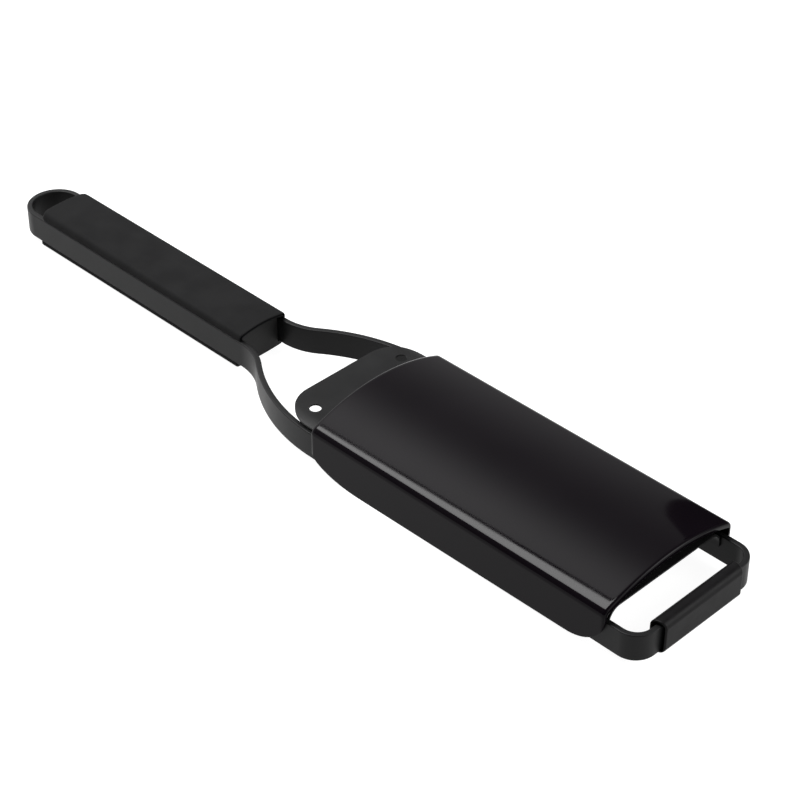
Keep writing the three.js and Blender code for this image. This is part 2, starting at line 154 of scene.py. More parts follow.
def loft(name, rings, caps=True):
    """A mesh through closed rings of 3-D points; without caps the last ring joins the first."""
    shape = bmesh.new()
    rows = [[shape.verts.new(point) for point in ring] for ring in rings]
    pairs = list(zip(rows, rows[1:]))
    if caps:
        shape.faces.new(rows[0])
        shape.faces.new(rows[-1])
    else:
        pairs.append((rows[-1], rows[0]))
    for low, high in pairs:
        for i in range(len(low)):
            j = (i + 1) % len(low)
            shape.faces.new((low[i], low[j], high[j], high[i]))
    bmesh.ops.remove_doubles(shape, verts=shape.verts, dist=SAME_POINT)
    bmesh.ops.recalc_face_normals(shape, faces=shape.faces)
    mesh = bpy.data.meshes.new(name)
    shape.to_mesh(mesh)
    shape.free()
    return mesh


# %% [markdown]
# Modifiers do the rest of the work on a mesh: they round its edges, cut it or weigh its normals. Each
# result is kept as the piece's own plain mesh straight away, so that no modifier is left at the end.

# %% Helpers for modifiers
MERGE = 1e-6


def settle(piece):
    """Turns what the modifiers show into the piece's own plain mesh."""
    shown = piece.evaluated_get(bpy.context.evaluated_depsgraph_get())
    mesh = bpy.data.meshes.new_from_object(shown)
    piece.modifiers.clear()
    old = piece.data
    piece.data = mesh
    bpy.data.meshes.remove(old)
    mesh.name = piece.name


def soften(piece, angle_degrees=40):
    """Smooth shading that stays flat on flat faces and breaks at hard edges."""
    piece.data.shade_smooth()
    piece.data.set_sharp_from_angle(angle=math.radians(angle_degrees))
    weights = piece.modifiers.new("face weights", "WEIGHTED_NORMAL")
    weights.keep_sharp = True
    settle(piece)


def round_edges(piece, width, segments=3, angle_degrees=40):
    """A bevel on the hard edges; what it squeezes to nothing at small corners is taken out."""
    bevel = piece.modifiers.new("rounded edges", "BEVEL")
    bevel.width = width
    bevel.segments = segments
    bevel.limit_method = "ANGLE"
    bevel.angle_limit = math.radians(angle_degrees)
    settle(piece)
    shape = bmesh.new()
    shape.from_mesh(piece.data)
    bmesh.ops.remove_doubles(shape, verts=shape.verts, dist=MERGE)
    bmesh.ops.dissolve_degenerate(shape, edges=shape.edges, dist=MERGE)
    shape.to_mesh(piece.data)
    shape.free()


def carve(piece, tool, operation):
    """A boolean with a second piece, which is used up."""
    cut = piece.modifiers.new("carve", "BOOLEAN")
    cut.operation = operation
    cut.solver = "EXACT"
    cut.object = tool
    settle(piece)
    bpy.data.objects.remove(tool)


# %% [markdown]
# Geometry Nodes trees are built by the same few helpers throughout: one opens a tree with named
# inputs, one adds a node and wires it in one line, and one ends the tree with real geometry and a
# material. The inputs are then set on the modifier by their identifiers, and the result becomes a
# plain mesh.

# %% Helpers for node trees
def open_tree(name, inputs):
    """A geometry tree and the sockets of its named inputs, given as (label, socket type)."""
    tree = bpy.data.node_groups.new(name, "GeometryNodeTree")
    tree.interface.new_socket("Geometry", in_out="INPUT", socket_type="NodeSocketGeometry")
    for label, kind in inputs:
        tree.interface.new_socket(label, in_out="INPUT", socket_type="NodeSocket" + kind)
    tree.interface.new_socket("Geometry", in_out="OUTPUT", socket_type="NodeSocketGeometry")
    start = tree.nodes.new("NodeGroupInput")
    return tree, {socket.name: socket for socket in start.outputs}


def add_node(tree, kind, settings=None, **inputs):
    """Adds a node; an input is named with _ for its blanks, or in0, in1 for its number."""
    node = tree.nodes.new(kind)
    for key, value in (settings or {}).items():
        setattr(node, key, value)
    for key, value in inputs.items():
        if key.startswith("in") and key[2:].isdigit():
            socket = node.inputs[int(key[2:])]
        else:
            socket = node.inputs[key.replace("_", " ")]
        if isinstance(value, bpy.types.NodeSocket):
            tree.links.new(value, socket)
        else:
            socket.default_value = value
    return node


def math_node(tree, operation, first, second=0.0):
    """The result of a Math node."""
    node = add_node(tree, "ShaderNodeMath", {"operation": operation}, in0=first, in1=second)
    return node.outputs[0]


def close_tree(tree, geometry, material):
    """The usual end of a tree: real geometry with a material."""
    real = add_node(tree, "GeometryNodeRealizeInstances", Geometry=geometry).outputs[0]
    dressed = add_node(tree, "GeometryNodeSetMaterial", Geometry=real, Material=material).outputs[0]
    end = tree.nodes.new("NodeGroupOutput")
    tree.links.new(dressed, end.inputs[0])


def grow(piece, tree, **values):
    """Runs a tree on a piece with the given inputs and keeps the result as its mesh."""
    modifier = piece.modifiers.new(tree.name, "NODES")
    modifier.node_group = tree
    for item in tree.interface.items_tree:
        label = item.name.replace(" ", "_")
        if item.in_out == "INPUT" and label in values:
            modifier[item.identifier] = values[label]
    settle(piece)


# %% [markdown]
# ## Finishes
# Everything on this grater is black, so the finishes differ in gloss and in fine texture rather
# than in colour: a satin powder coat, an etched sheet, soft rubber, moulded plastic, and the
# guard's polished plastic. Each one is a Principled shader; noise on Object coordinates moves its
# colour and roughness a little, and a second, finer noise feeds a bump.

# %% A shared recipe for a black finish
PATCH_DETAIL = 5.0
GRAIN_DETAIL = 2.0
COLOUR_SPREAD = (0.35, 0.65)
GLOSS_SPREAD = (0.3, 0.7)


def black_finish(name, dark, light, rough, spec, patch, grain, bump):
    """dark and light are colours, rough a pair, patch and grain sizes in metres, bump a height."""
    material = bpy.data.materials.new(name)
    material.use_nodes = True
    tree = material.node_tree
    shader = tree.nodes["Principled BSDF"]
    shader.inputs["Specular IOR Level"].default_value = spec
    place = tree.nodes.new("ShaderNodeTexCoord").outputs["Object"]
    clouds = add_node(
        tree, "ShaderNodeTexNoise", Vector=place, Scale=1 / patch, Detail=PATCH_DETAIL,
    ).outputs["Fac"]
    ramp = tree.nodes.new("ShaderNodeValToRGB")
    for stop, colour, position in zip(ramp.color_ramp.elements, (dark, light), COLOUR_SPREAD):
        stop.color = (*colour, 1)
        stop.position = position
    tree.links.new(clouds, ramp.inputs[0])
    tree.links.new(ramp.outputs[0], shader.inputs["Base Color"])
    gloss = add_node(
        tree, "ShaderNodeMapRange", in0=clouds, in1=GLOSS_SPREAD[0], in2=GLOSS_SPREAD[1],
        in3=rough[0], in4=rough[1],
    )
    tree.links.new(gloss.outputs[0], shader.inputs["Roughness"])
    grains = add_node(
        tree, "ShaderNodeTexNoise", Vector=place, Scale=1 / grain, Detail=GRAIN_DETAIL,
    ).outputs["Fac"]
    relief = add_node(tree, "ShaderNodeBump", Height=grains, Strength=1.0, Distance=bump)
    tree.links.new(relief.outputs[0], shader.inputs["Normal"])
    return material


# %% [markdown]
# The bar's coat is baked powder: satin, with an orange-peel grain well under a millimetre. The
# blade's sheet carries the same coat but thinner and flatter, and the welds under it stay rough.

# %% Steel finishes
coated_steel = black_finish(
    "satin_powder_coat", (0.0044, 0.0044, 0.0046), (0.0060, 0.0060, 0.0062),
    rough=(0.38, 0.46), spec=0.105, patch=0.012, grain=0.0005, bump=0.000012,
)
etched_steel = black_finish(
    "coated_etched_sheet", (0.0044, 0.0044, 0.0046), (0.0060, 0.0060, 0.0062),
    rough=(0.36, 0.44), spec=0.09, patch=0.009, grain=0.0003, bump=0.000006,
)
weld_steel = black_finish(
    "coated_weld", (0.0055, 0.0052, 0.0050), (0.0090, 0.0085, 0.0080),
    rough=(0.48, 0.66), spec=0.15, patch=0.003, grain=0.0004, bump=0.00004,
)
print("steel:", coated_steel.name, etched_steel.name, weld_steel.name)

# %% [markdown]
# The pads are soft-touch rubber with an eroded mould texture, which hardly mirrors at all. The core
# between them is a plain matt moulding, and the foot is a denser, darker rubber with a faint sheen.

# %% Rubber and plastic finishes
soft_pad = black_finish(
    "soft_touch_pad", (0.0074, 0.0074, 0.0076), (0.0094, 0.0094, 0.0096),
    rough=(0.52, 0.60), spec=0.012, patch=0.010, grain=0.00035, bump=0.00002,
)
hard_plastic = black_finish(
    "matt_moulding", (0.0052, 0.0052, 0.0052), (0.0068, 0.0068, 0.0068),
    rough=(0.48, 0.56), spec=0.12, patch=0.008, grain=0.0004, bump=0.000012,
)
foot_rubber = black_finish(
    "foot_rubber", (0.0024, 0.0022, 0.0025), (0.0034, 0.0032, 0.0035),
    rough=(0.40, 0.48), spec=0.075, patch=0.006, grain=0.0003, bump=0.00002,
)
print("handle and foot:", soft_pad.name, hard_plastic.name, foot_rubber.name)

# %% [markdown]
# The guard is polished plastic. Its colour is almost nothing: what the eye sees is the room in it.
# Only a trace of purple, a very low wave in the skin and faint changes of gloss keep it from
# looking like a perfect mirror.

# %% Gloss finish
gloss_plastic = black_finish(
    "polished_guard", (0.0017, 0.0011, 0.0018), (0.0022, 0.0015, 0.0023),
    rough=(0.05, 0.08), spec=0.06, patch=0.030, grain=0.020, bump=0.000004,
)
print("guard:", gloss_plastic.name)

# %% [markdown]
# ## The bent bar
# On the real grater one strip of steel stands on edge and is bent round eight corners. In Blender
# that is a path and a profile. Geometry Nodes sweep a rounded rectangle along the path's plan,
# with the curve's normals held upright so that the strip never twists.

# %% The bar's path
LOOP_STEPS = 24
NECK_STEPS = 18
RAIL_BEND_STEPS = 24
CORNER_STEPS = 16


def bar_plan(inset):
    """The closed loop seen from above, at a distance inside the bar's outer face."""
    handle = handle_half - inset
    rail = bar_high.y - inset
    inner_bend = HANDLE_BEND + inset
    outer_bend = BLADE_BEND - inset
    corner_x = bar_high.x - CORNER_BEND
    corner_y = bar_high.y - CORNER_BEND
    left = (
        arc(loop_centre, 0, handle, 2 * QUARTER, QUARTER, LOOP_STEPS)
        + arc(neck_start, handle + inner_bend, inner_bend, -QUARTER, neck_angle - QUARTER, NECK_STEPS)
        + arc(rail_start, rail - outer_bend, outer_bend, QUARTER + neck_angle, QUARTER, RAIL_BEND_STEPS)
        + arc(corner_x, corner_y, CORNER_BEND - inset, QUARTER, 0, CORNER_STEPS)
    )
    mirrored = [(x, -y) for x, y in reversed(left[1:])]
    return left + mirrored


def path_mesh(name, points, height):
    """A closed loop of edges at one height, with neighbours that coincide left out."""
    apart = [p for p, q in zip(points, points[1:] + points[:1]) if math.dist(p, q) > MERGE]
    mesh = bpy.data.meshes.new(name)
    edges = [(i, (i + 1) % len(apart)) for i in range(len(apart))]
    mesh.from_pydata([(x, y, height) for x, y in apart], edges, [])
    return mesh


middle_line = bar_plan(BAR_THICKNESS / 2)
print("bar's path:", len(middle_line), "points")

# %% [markdown]
# The path is only a loop of edges. The tree turns it into a curve and sweeps the strip's section
# along it, so that thickness, height and the rounding of the edges stay inputs to play with.

# %% The bar's sweep
EDGE_ROUNDING = 0.0004
ROUNDING_STEPS = 3

sweep, given = open_tree("bar_sweep", [
    ("Thickness", "Float"), ("Height", "Float"), ("Rounding", "Float"), ("Finish", "Material"),
])
line = add_node(sweep, "GeometryNodeMeshToCurve", Mesh=given["Geometry"]).outputs[0]
held = add_node(sweep, "GeometryNodeSetCurveNormal", {"mode": "Z_UP"}, Curve=line).outputs[0]
strip = add_node(
    sweep, "GeometryNodeCurvePrimitiveQuadrilateral", Width=given["Thickness"], Height=given["Height"],
).outputs[0]
rounded = add_node(
    sweep, "GeometryNodeFilletCurve", {"mode": "POLY"},
    Curve=strip, Radius=given["Rounding"], Count=ROUNDING_STEPS,
).outputs[0]
swept = add_node(sweep, "GeometryNodeCurveToMesh", Curve=held, Profile_Curve=rounded).outputs[0]
close_tree(sweep, swept, given["Finish"])

bar = add_piece("bent_bar", path_mesh("bent_bar", middle_line, (bar_low.z + bar_high.z) / 2))
grow(
    bar, sweep, Thickness=BAR_THICKNESS, Height=bar_high.z - bar_low.z, Rounding=EDGE_ROUNDING,
    Finish=coated_steel,
)
soften(bar)
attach(bar, "grater")
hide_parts("frame")
print("bar:", len(bar.data.polygons), "faces")

# %% [markdown]
# ## The blade
# The blade is stamped from thin sheet: a flat top with two long sides bent down between the rails,
# and at the handle's end a tab that reaches out over them. The channel is one section, extruded. A
# flat plane with Solidify would do as well, but the section shows where the sheet's two skins lie.

# %% The blade's channel
SHEET = 0.0006
SIDE_BEND = 0.005
BEND_STEPS = 10
LIP_HEIGHT = 0.0007
FLANGE_SETBACK = 0.001

blade_top = blade_high.z - LIP_HEIGHT
blade_half = blade_high.y


def prism(name, outline, low, high, axis):
    """An outline in the plane, extruded along X or Z."""
    put = {
        "X": lambda p, level: (level, p[0], p[1]),
        "Z": lambda p, level: (p[0], p[1], level),
    }[axis]
    return add_piece(name, loft(name, [[put(p, level) for p in outline] for level in (low, high)]))


bend_y = blade_half - SIDE_BEND
bend_z = blade_top - SIDE_BEND
outer = arc(bend_y, bend_z, SIDE_BEND, 0, QUARTER, BEND_STEPS)
inner = arc(bend_y, bend_z, SIDE_BEND - SHEET, QUARTER, 0, BEND_STEPS)
left_skin = [(blade_half, blade_low.z), *outer]
left_lining = [*inner, (blade_half - SHEET, blade_low.z)]
section = (
    left_skin
    + [(-y, z) for y, z in reversed(left_skin)]
    + [(-y, z) for y, z in reversed(left_lining)]
    + left_lining
)
flange_start = rail_start + FLANGE_SETBACK
blade = prism("toothed_blade", section, flange_start, blade_high.x, "X")
print("channel:", len(blade.data.polygons), "faces")

# %% [markdown]
# The tab is flat in the middle, and its edges droop a little. It is extruded from that section and
# trimmed to its plan with round corners. A tongue of it lies inside the channel's top, a hair thinner
# than the sheet, so that the boolean never meets two faces in one plane.

# %% The blade's tab and its two holes
TAB_CORNER = 0.013
TAB_CORNER_STEPS = 16
TAB_OVERHANG = 0.0012
TAB_FLAT = 0.0225
TAB_DROOP = 0.0016
TAB_STEPS = 6
TAB_SKIN = 0.00002
TAB_HOLE = 0.00205
TAB_HOLE_INSET = 0.0098
TAB_HOLE_SIDE = 0.0201
HOLE_STEPS = 40
PAST = 0.002  # how far a cutting tool reaches past what it cuts

tab_half = blade_half + TAB_OVERHANG
tab_end = flange_start + SHEET
edge_run = tab_half + TAB_OVERHANG - TAB_FLAT
edge_shares = [i / TAB_STEPS for i in range(TAB_STEPS, -1, -1)]
left_edge = [
    (TAB_FLAT + edge_run * share, blade_top - TAB_SKIN - TAB_DROOP * share ** 2)
    for share in edge_shares
]
tab_skin = left_edge + [(-y, z) for y, z in reversed(left_edge)]
tab_lining = [(y, z - SHEET + 2 * TAB_SKIN) for y, z in reversed(tab_skin)]
tab = prism("tab", tab_skin + tab_lining, blade_low.x - PAST, tab_end + 2 * PAST, "X")
corner_x, corner_y = blade_low.x + TAB_CORNER, tab_half - TAB_CORNER
left_tab = [
    *arc(corner_x, corner_y, TAB_CORNER, 2 * QUARTER, QUARTER, TAB_CORNER_STEPS),
    (tab_end, tab_half), (tab_end, bend_y), (tab_end + PAST, bend_y),
]
tab_plan = left_tab + [(x, -y) for x, y in reversed(left_tab)]
carve(tab, prism("tab_plan", tab_plan, blade_low.z, blade_high.z + PAST, "Z"), "INTERSECT")
carve(blade, tab, "UNION")
hole_x = blade_low.x + TAB_HOLE_INSET
for side in (-1, 1):
    hole = arc(hole_x, side * TAB_HOLE_SIDE, TAB_HOLE, 0, 4 * QUARTER, HOLE_STEPS)[:-1]
    carve(blade, prism("tab_hole", hole, blade_low.z - PAST, blade_high.z + PAST, "Z"), "DIFFERENCE")
print("sheet:", len(blade.data.polygons), "faces")

# %% [markdown]
# The teeth repeat in staggered rows: each is a slot with a small scoop raised in front of it. One
# slot and one scoop are made here, with few faces, because they are copied more than a hundred times.

# %% One tooth: its slot and its scoop
TOOTH_WIDTH = 0.005
TOOTH_OPENING = 0.0022
SLOT_STEPS = 4
SCOOP_RUN = 0.0022
SCOOP_STEPS_ALONG = 4
SCOOP_STEPS_ACROSS = 8


def slot_outline():
    """A straight cutting edge in front and a rounded back."""
    half = TOOTH_WIDTH / 2
    reach = TOOTH_OPENING / 2
    left = [(reach, half), *arc(0, half - reach, reach, QUARTER, 2 * QUARTER, SLOT_STEPS)]
    return left + [(x, -y) for x, y in reversed(left)]


def scoop_mesh():
    """A low arch that rises towards the slot, closed below inside the sheet."""
    def height(along, across):
        return LIP_HEIGHT * math.cos(along * QUARTER) * math.sqrt(max(1 - across ** 2, 0))

    rings = []
    for i in range(SCOOP_STEPS_ALONG + 1):
        along = i / SCOOP_STEPS_ALONG
        x = TOOTH_OPENING / 2 + SCOOP_RUN * along
        across = [math.cos(math.pi * j / SCOOP_STEPS_ACROSS) for j in range(SCOOP_STEPS_ACROSS + 1)]
        ridge = [(x, TOOTH_WIDTH / 2 * v, height(along, v) + SEAT * (along < 1)) for v in across]
        under = [(x, TOOTH_WIDTH / 2 * v, -SHEET / 2) for v in (-1, 1)]
        rings.append(ridge + under)
    return loft("tooth_scoop", rings)


tooth_slot = prism("tooth_slot", slot_outline(), -2 * SHEET, SHEET, "Z")
tooth_scoop = add_piece("tooth_scoop", scoop_mesh())
print("one tooth:", len(tooth_slot.data.polygons), "+", len(tooth_scoop.data.polygons), "faces")

# %% [markdown]
# An array could repeat the tooth, but a node tree keeps the pitch and the number of rows as inputs. It
# lays a grid of points on the blade and moves every second row by half a pitch. That pushes the
# row's last tooth too far out, so it is marked as a spare one.

# %% The tooth field: where the teeth stand
field, given = open_tree("tooth_field", [
    ("Rows", "Int"), ("Teeth", "Int"), ("Along", "Float"), ("Across", "Float"), ("Centre", "Vector"),
    ("Slot", "Object"), ("Scoop", "Object"), ("Finish", "Material"),
])
length = math_node(field, "MULTIPLY", math_node(field, "SUBTRACT", given["Rows"], 1), given["Along"])
width = math_node(field, "MULTIPLY", math_node(field, "SUBTRACT", given["Teeth"], 1), given["Across"])
grid = add_node(
    field, "GeometryNodeMeshGrid",
    Size_X=length, Size_Y=width, Vertices_X=given["Rows"], Vertices_Y=given["Teeth"],
).outputs[0]
number = add_node(field, "GeometryNodeInputIndex").outputs[0]
row = math_node(field, "FLOOR", math_node(field, "DIVIDE", number, given["Teeth"]))
odd = math_node(field, "MODULO", row, 2)
column = math_node(field, "MODULO", number, given["Teeth"])
last = math_node(field, "COMPARE", column, math_node(field, "SUBTRACT", given["Teeth"], 1))
half_pitch = math_node(field, "MULTIPLY", given["Across"], 0.5)
step = add_node(field, "ShaderNodeCombineXYZ", Y=math_node(field, "MULTIPLY", odd, half_pitch)).outputs[0]
spot = add_node(
    field, "ShaderNodeVectorMath", {"operation": "ADD"}, in0=step, in1=given["Centre"],
).outputs[0]
spare = math_node(field, "MULTIPLY", odd, last)
moved = add_node(field, "GeometryNodeSetPosition", Geometry=grid, Offset=spot).outputs[0]
points = add_node(field, "GeometryNodeMeshToPoints", Mesh=moved).outputs[0]
print("tooth field:", len(field.nodes), "nodes for the points")

# %% [markdown]
# In the same tree, one boolean adds a scoop at each point and a second one cuts the slots. How many
# rows and teeth fit is worked out from the guard's rear end, the blade's front end and the flat width.

# %% The tooth field: scoops and slots
TEETH_ALONG = 0.006
TEETH_ACROSS = 0.0074
FIELD_MARGIN = 0.005


def copies(object_socket):
    """One real copy of an object at each tooth that isn't a spare one."""
    original = add_node(field, "GeometryNodeObjectInfo", Object=object_socket).outputs["Geometry"]
    kept = math_node(field, "SUBTRACT", 1, spare)
    placed = add_node(
        field, "GeometryNodeInstanceOnPoints", Points=points, Selection=kept, Instance=original,
    ).outputs[0]
    return add_node(field, "GeometryNodeRealizeInstances", Geometry=placed).outputs[0]


raised = add_node(field, "GeometryNodeMeshBoolean", {"operation": "UNION", "solver": "MANIFOLD"})
field.links.new(given["Geometry"], raised.inputs["Mesh 2"])
field.links.new(copies(given["Scoop"]), raised.inputs["Mesh 2"])
pierced = add_node(
    field, "GeometryNodeMeshBoolean", {"operation": "DIFFERENCE", "solver": "MANIFOLD"},
    Mesh_1=raised.outputs[0], Mesh_2=copies(given["Slot"]),
)
close_tree(field, pierced.outputs[0], given["Finish"])

field_start = cover_low.x + FIELD_MARGIN
field_end = blade_high.x - FIELD_MARGIN
rows = int((field_end - field_start) / TEETH_ALONG)
teeth = int(2 * (bend_y - TOOTH_WIDTH / 2) / TEETH_ACROSS) + 1
grow(
    blade, field, Rows=rows, Teeth=teeth, Along=TEETH_ALONG, Across=TEETH_ACROSS,
    Centre=((field_start + field_end) / 2, 0, blade_top), Slot=tooth_slot, Scoop=tooth_scoop,
    Finish=etched_steel,
)
bpy.data.objects.remove(tooth_slot)
bpy.data.objects.remove(tooth_scoop)
soften(blade, angle_degrees=35)
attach(blade, "grater")
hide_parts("blade")
print("blade:", rows, "rows,", len(blade.data.polygons), "faces")

# %% [markdown]
# ## Weld beads
# Short beads under the flanges hold the blade to the rails, four on each side. Their places come from
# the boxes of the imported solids, one point for each bead.

# %% Where the beads lie
BEAD_RADIUS = 0.00075

bead_names = sorted(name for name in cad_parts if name.startswith("weld_bead"))
bead_boxes = [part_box(name) for name in bead_names]
bead_length = bead_boxes[0][1].x - bead_boxes[0][0].x
bead_centres = []
for low, high in bead_boxes:
    wall = high.y if high.y > 0 else low.y
    inward = -math.copysign(BEAD_RADIUS - SEAT, wall)
    bead_centres.append(((low.x + high.x) / 2, wall + inward, high.z - BEAD_RADIUS + SEAT))
print("beads:", len(bead_centres), "each", round(bead_length, 4), "long")

# %% [markdown]
# A bead is a puddle that was pushed along in steps, so its skin shows ripples. The tree sweeps a
# circle along a short line and lets the radius swing with the distance, down to a small end on both
# sides. One tree makes one bead, and the points place the copies.

# %% Beads with ripples
RIPPLE = 0.10
RIPPLES = 8
BEAD_STEPS = 50
BEAD_SIDES = 14
END_BLUNTNESS = 8
END_SIZE = 0.15

ripple_tree, given = open_tree("weld_beads", [
    ("Length", "Float"), ("Radius", "Float"), ("Ripple", "Float"), ("Ripples", "Int"),
    ("Finish", "Material"),
])
middle = add_node(
    ripple_tree, "ShaderNodeCombineXYZ", X=math_node(ripple_tree, "MULTIPLY", given["Length"], 0.5),
).outputs[0]
behind = add_node(
    ripple_tree, "ShaderNodeVectorMath", {"operation": "SCALE"}, in0=middle, Scale=-1.0,
).outputs[0]
seam = add_node(ripple_tree, "GeometryNodeCurvePrimitiveLine", Start=behind, End=middle).outputs[0]
seam = add_node(ripple_tree, "GeometryNodeResampleCurve", Curve=seam, Count=BEAD_STEPS).outputs[0]
share = add_node(ripple_tree, "GeometryNodeSplineParameter").outputs["Factor"]
ripples_so_far = math_node(ripple_tree, "MULTIPLY", share, given["Ripples"])
turns = math_node(ripple_tree, "MULTIPLY", ripples_so_far, math.pi)
wave = math_node(ripple_tree, "ABSOLUTE", math_node(ripple_tree, "SINE", turns))
swell = math_node(ripple_tree, "ADD", 1, math_node(ripple_tree, "MULTIPLY", wave, given["Ripple"]))
from_middle = math_node(ripple_tree, "SUBTRACT", math_node(ripple_tree, "MULTIPLY", share, 2), 1)
taper = math_node(ripple_tree, "SUBTRACT", 1, math_node(ripple_tree, "POWER", from_middle, END_BLUNTNESS))
taper = math_node(ripple_tree, "MAXIMUM", taper, END_SIZE)
swell = math_node(ripple_tree, "MULTIPLY", swell, taper)
size = math_node(ripple_tree, "MULTIPLY", swell, given["Radius"])
circle = add_node(
    ripple_tree, "GeometryNodeCurvePrimitiveCircle", Resolution=BEAD_SIDES, Radius=1.0,
).outputs[0]
bead = add_node(
    ripple_tree, "GeometryNodeCurveToMesh",
    Curve=seam, Profile_Curve=circle, Scale=size, Fill_Caps=True,
).outputs[0]
beads_there = add_node(ripple_tree, "GeometryNodeInstanceOnPoints", Points=given["Geometry"], Instance=bead)
close_tree(ripple_tree, beads_there.outputs[0], given["Finish"])

bead_mesh = bpy.data.meshes.new("weld_beads")
bead_mesh.from_pydata(bead_centres, [], [])
welds = add_piece("weld_beads", bead_mesh)
grow(
    welds, ripple_tree, Length=bead_length, Radius=BEAD_RADIUS, Ripple=RIPPLE, Ripples=RIPPLES,
    Finish=weld_steel,
)
soften(welds, angle_degrees=60)
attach(welds, "grater")
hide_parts(*bead_names)
print("welds:", len(bead_centres), "beads,", len(welds.data.polygons), "faces")

# %% [markdown]
# ## The pads
# Each pad is a strip of soft rubber: straight sides, rounded shoulders and a low crown. A narrow step
# at the foot of the sides leaves the dark line between pad and bar. The pads are moulded, not sewn, so
# they are drawn by their section and need no cloth.

# %% The pads' section
PAD_INSET = 0.0001
SEAM_HEIGHT = 0.00035
SEAM_DEPTH = 0.0001
SHOULDER_STEPS = 8
CROWN_STEPS = 10

pad_half = handle_half - PAD_INSET


def pad_section(half, height, shoulder, crown, seam):
    """The section as (across, above the seat), from the right foot over the crown to the left one."""
    lean = math.atan2(2 * crown, half - shoulder)
    side = height - crown - shoulder * math.cos(lean)
    foot = [(half, 0)]
    if seam:
        foot = [(half - seam, 0), (half - seam, SEAM_HEIGHT), (half, SEAM_HEIGHT + SEAT)]
    turn = arc(half - shoulder, side, shoulder, 0, QUARTER - lean, SHOULDER_STEPS)
    reach = turn[-1][0]
    rise = [(reach * (1 - i / CROWN_STEPS), i / CROWN_STEPS) for i in range(1, CROWN_STEPS + 1)]
    top = [(across, height - crown * (1 - share) ** 2) for across, share in rise]
    left = foot + turn + top
    return [(-y, level) for y, level in left] + list(reversed(left[:-1]))


print("pads:", round(2 * pad_half, 4), "wide")

# %% [markdown]
# A pad is lofted through copies of that section, which may change from one end to the other. Near both
# ends the copies draw in on a quarter circle, sideways for the corners seen from above and downwards
# for the end's upper edge.

# %% The pads' length and ends
PAD_REAR_CORNER = 0.0016
PAD_FRONT_CORNER = 0.0008
PAD_END_EDGE = 0.0004
END_STEPS = 5
LENGTH_STEPS = 8
STATION_DIGITS = 7


def drawn_in(depth, radius):
    """How far a rounded end stands back at a depth behind its tip."""
    return radius - math.sqrt(max(radius ** 2 - max(radius - depth, 0) ** 2, 0))


def pad_mesh(name, low, high, seat, outward, shoulders, crowns):
    """A pad between its box's ends that stands outward (1 up, -1 down); pairs are rear and front."""
    height = abs((high.z if outward > 0 else low.z) - seat)
    angles = [QUARTER * i / END_STEPS for i in range(END_STEPS + 1)]
    stations = []
    for tip, inward, corner in ((low.x, 1, PAD_REAR_CORNER), (high.x, -1, PAD_FRONT_CORNER)):
        depths = {
            round(radius * (1 - math.cos(angle)), STATION_DIGITS)
            for radius in (corner, PAD_END_EDGE) for angle in angles
        }
        stations += [(tip + inward * d, drawn_in(d, corner), drawn_in(d, PAD_END_EDGE)) for d in depths]
    for i in range(1, LENGTH_STEPS):
        stations.append((low.x + (high.x - low.x) * i / LENGTH_STEPS, 0, 0))
    rings = []
    for x, sideways, downwards in sorted(stations):
        share = (x - low.x) / (high.x - low.x)
        shoulder = shoulders[0] + (shoulders[1] - shoulders[0]) * share
        crown = crowns[0] + (crowns[1] - crowns[0]) * share
        shoulder = min(shoulder, height - downwards - crown - 2 * SEAM_HEIGHT)
        section = pad_section(pad_half - sideways, height - downwards, shoulder, crown, SEAM_DEPTH)
        rings.append([(x, y, seat + outward * level) for y, level in section])
    return loft(name, rings)


# %% [markdown]
# The upper pad is the one the palm feels: large shoulders at the loop, and a crown that gets fuller
# towards the neck. The lower one is a thinner strip with small shoulders, turned upside down.

# %% Pads
TOP_SHOULDERS = (0.0025, 0.0018)
TOP_CROWNS = (0.0004, 0.0010)
BOTTOM_SHOULDERS = (0.0006, 0.0006)
BOTTOM_CROWNS = (0.0004, 0.0004)

top_seat = bar_high.z + SEAT
bottom_seat = bar_low.z - SEAT
top_pad = add_piece("grip_top_cushion", pad_mesh(
    "grip_top_cushion", top_pad_low, top_pad_high, top_seat, 1, TOP_SHOULDERS, TOP_CROWNS,
))
bottom_pad = add_piece("grip_bottom_cushion", pad_mesh(
    "grip_bottom_cushion", bottom_pad_low, bottom_pad_high, bottom_seat, -1,
    BOTTOM_SHOULDERS, BOTTOM_CROWNS,
))
print("pads:", len(top_pad.data.polygons), "and", len(bottom_pad.data.polygons), "faces")

# %% [markdown]
# The upper pad reaches past the core at the neck as a lip, and the core's nose goes up under it. So
# both pads get a pocket for the nose. A narrow slot in the lip's end draws the dark line that follows
# the pad's edge.

# %% Pockets for the core's nose
LIP_THICKNESS = 0.0012
LIP_SKIN = 0.0003
LIP_SLOT = 0.0006
LIP_SLOT_DEPTH = 0.0014
NOSE_GAP = 0.0002
SOLE_SKIN = 0.0002
NOSE_LENGTH = 0.004


def under_skin(inset):
    """The upper pad's front section, drawn in on all sides by an inset."""
    height = top_pad_high.z - top_seat - inset
    shoulder = max(TOP_SHOULDERS[1] - inset, SEAT)
    outline = pad_section(pad_half - inset, height, shoulder, TOP_CROWNS[1], 0)
    return [(y, top_seat + level) for y, level in outline]


def nose_section(gap):
    """The nose's outline across the handle, or with a gap of zero the pocket's."""
    skin = SOLE_SKIN + gap
    depth = bottom_seat - bottom_pad_low.z - skin
    lower = pad_section(pad_half - skin, depth, BOTTOM_SHOULDERS[1], BOTTOM_CROWNS[1], 0)
    half = core_high.y - gap
    return [
        *under_skin(LIP_THICKNESS + gap),
        (half, top_seat), (half, bottom_seat),
        *[(y, bottom_seat - level) for y, level in reversed(lower)],
        (-half, bottom_seat), (-half, top_seat),
    ]


